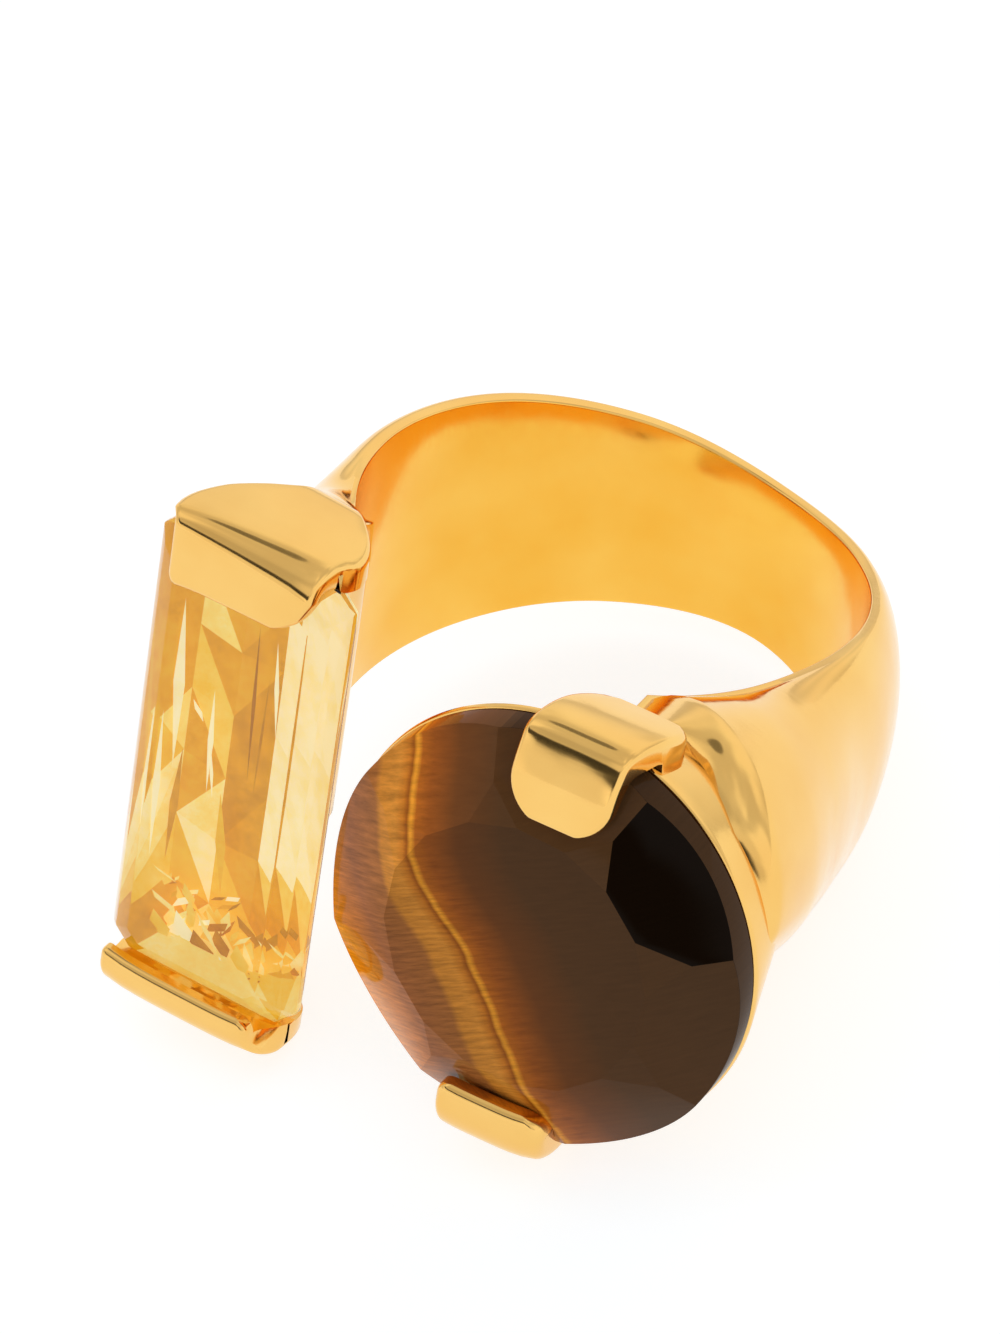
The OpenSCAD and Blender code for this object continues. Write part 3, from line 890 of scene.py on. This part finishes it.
# The band sways a little and swings out in one soft bend
drift = new_node(tree, "TexNoise", Scale=0.6, Detail=3)
drift.noise_dimensions = "1D"
tree.links.new(along, drift.inputs["W"])
sway = maths(tree, "MULTIPLY_ADD", drift.outputs["Fac"], 0.4, -0.2)
from_bend = maths(tree, "MULTIPLY", maths(tree, "SUBTRACT", along, bend_at), 1 / bend_length)
bell = maths(tree, "EXPONENT", maths(tree, "MULTIPLY", maths(tree, "MULTIPLY", from_bend, from_bend), -1.0))
bulge = maths(tree, "MULTIPLY", bell, bend_depth)
from_band = maths(tree, "ADD", maths(tree, "ADD", maths(tree, "ADD", across, band_offset), bulge), sway)
silk = new_node(tree, "ValToRGB")
set_ramp(silk, [((mm - silk_start) / silk_span, colour) for mm, colour in SILK])
silk_at = maths(tree, "MULTIPLY_ADD", from_band, 1 / silk_span, -silk_start / silk_span)
tree.links.new(silk_at, silk.inputs["Fac"])

# Fine cross fibres show most in the band and fade out in the dark part
follow = maths(tree, "ADD", along, maths(tree, "MULTIPLY", bulge, -1.2))
fibre_place = new_node(tree, "CombineXYZ")
fibre = new_node(tree, "TexNoise", Scale=1.0, Detail=6, Roughness=0.65)
thread = new_node(tree, "MapRange", From_Min=0.3, From_Max=0.7, To_Min=0.72, To_Max=1.25)
painted_facet_light = new_node(tree, "Attribute")
painted_facet_light.attribute_name = "painted_facet_light"
wire_up(tree, [
    (maths(tree, "MULTIPLY", follow, 7.0), fibre_place.inputs["X"]),
    (maths(tree, "MULTIPLY", across, 0.8), fibre_place.inputs["Y"]),
    (fibre_place.outputs[0], fibre.inputs["Vector"]),
    (fibre.outputs["Fac"], thread.inputs["Value"]),
])
shown = maths(tree, "MULTIPLY_ADD", maths(tree, "SUBTRACT", thread.outputs["Result"], 1.0),
              soft_step(tree, from_band, 0.3, 3.0, 1.25, 0.3), 1.0)
woven = scaled(tree, silk.outputs["Color"], shown)
# Each facet's colour is scaled by its painted light and shade
tree.links.new(scaled(tree, woven, painted_facet_light.outputs["Fac"]), surface.inputs["Base Color"])


def painted_silk_sheen(out, at):
    """Painted light and shade on the silk: the facet that turns it away is painted dark, and those at the
    left and top and the girdle are painted brighter."""
    away = out.x * math.cos(math.radians(first_main)) + out.y * math.sin(math.radians(first_main))
    dark = min(max((away - 0.36) / 0.08, 0), 1)
    on_crown = out.z > 0.3
    left = min(max(-out.x / 0.4, 0), 1) * (1.2 if on_crown else 0.4)
    up = min(max(out.y / 0.4, 0), 1) * (1 if on_crown else 0)
    girdle = 0.8 if abs(out.z) < 0.2 else 0
    return (1 - 0.92 * dark) * (1 + 0.3 * left + 0.25 * up) + girdle


# Its facets carry painted light and shade, by the way each one faces
cut_stone("tigers_eye_oval", points, faces, cuts, in_cup, tiger_quartz, "tigers_eye", soft=0.025,
          tone=painted_silk_sheen)

# Table top and light
# The ring lies on plain white paper that is lit a little from within, so that it stays white
# right up to the ring, in a white room with broad soft light from all round.
bpy.ops.mesh.primitive_plane_add(size=3.0, location=(0, 0, cad_box[0][2]))
table = bpy.context.object
table.name = "white_table"
paper, tree, surface = new_finish("white_paper", Base_Color=(0.40, 0.42, 0.44, 1), Roughness=0.9,
                                  Specular_IOR_Level=0.1, Emission_Color=(0.97, 0.99, 1, 1),
                                  Emission_Strength=0.75)
table.data.materials.append(paper)

room = bpy.data.worlds.new("white_room")
bpy.context.scene.world = room
room.use_nodes = True
air = room.node_tree
way = new_node(air, "TexCoord").outputs["Generated"]
parts = new_node(air, "SeparateXYZ")
air.links.new(way, parts.inputs[0])


def product(first, *others):
    for other in others:
        first = maths(air, "MULTIPLY", first, other)
    return first


def shaded(part, light):
    """Plain white light where part is 0, and this much of it where part is 1."""
    return soft_step(air, part, 0.0, 1.0, 1.0, light)


# Where the light differs from the plain white of the walls: in front it is a little dimmer high
# up, with a dark gap below that between the table and a screen, and brighter again at the table
in_front = soft_step(air, parts.outputs["Y"], -0.60, -0.25, 1.0, 0.0)
slant = maths(air, "ADD", parts.outputs["Z"], maths(air, "MULTIPLY", parts.outputs["X"], 0.34))
above = soft_step(air, slant, 0.38, 0.50)
front_gap = product(soft_step(air, slant, 0.17, 0.22), maths(air, "SUBTRACT", 1.0, above), in_front,
                    soft_step(air, parts.outputs["X"], 0.48, 0.7, 1.0, 0.35))
dimmer = product(above, in_front)
table_edge = product(soft_step(air, slant, 0.12, 0.20, 1.0, 0.0), in_front)

# Overhead there is a small dark opening, and folds in the hangings shade the whole room softly
overhead = new_node(air, "VectorMath")
overhead.operation = "DOT_PRODUCT"
air.links.new(way, overhead.inputs[0])
overhead.inputs[1].default_value = Vector((-0.15, 0.42, 0.88)).normalized()
top_gap = soft_step(air, overhead.outputs["Value"], 0.986, 0.993)
folds = new_node(air, "TexNoise", Scale=1.6, Detail=1.0)
air.links.new(way, folds.inputs["Vector"])
bright = product(shaded(front_gap, 0.07), shaded(top_gap, 0.3), shaded(dimmer, 0.82),
                 soft_step(air, folds.outputs["Fac"], 0.35, 0.65, 0.70, 1.04), shaded(table_edge, 1.3))
grey = new_node(air, "CombineColor")
for channel in ("Red", "Green", "Blue"):
    air.links.new(bright, grey.inputs[channel])
glow = set_sockets(air.nodes["Background"], Strength=1.0)
air.links.new(grey.outputs["Color"], glow.inputs["Color"])

bpy.context.scene.view_settings.view_transform = "Standard"
bpy.context.scene.view_settings.look = "None"
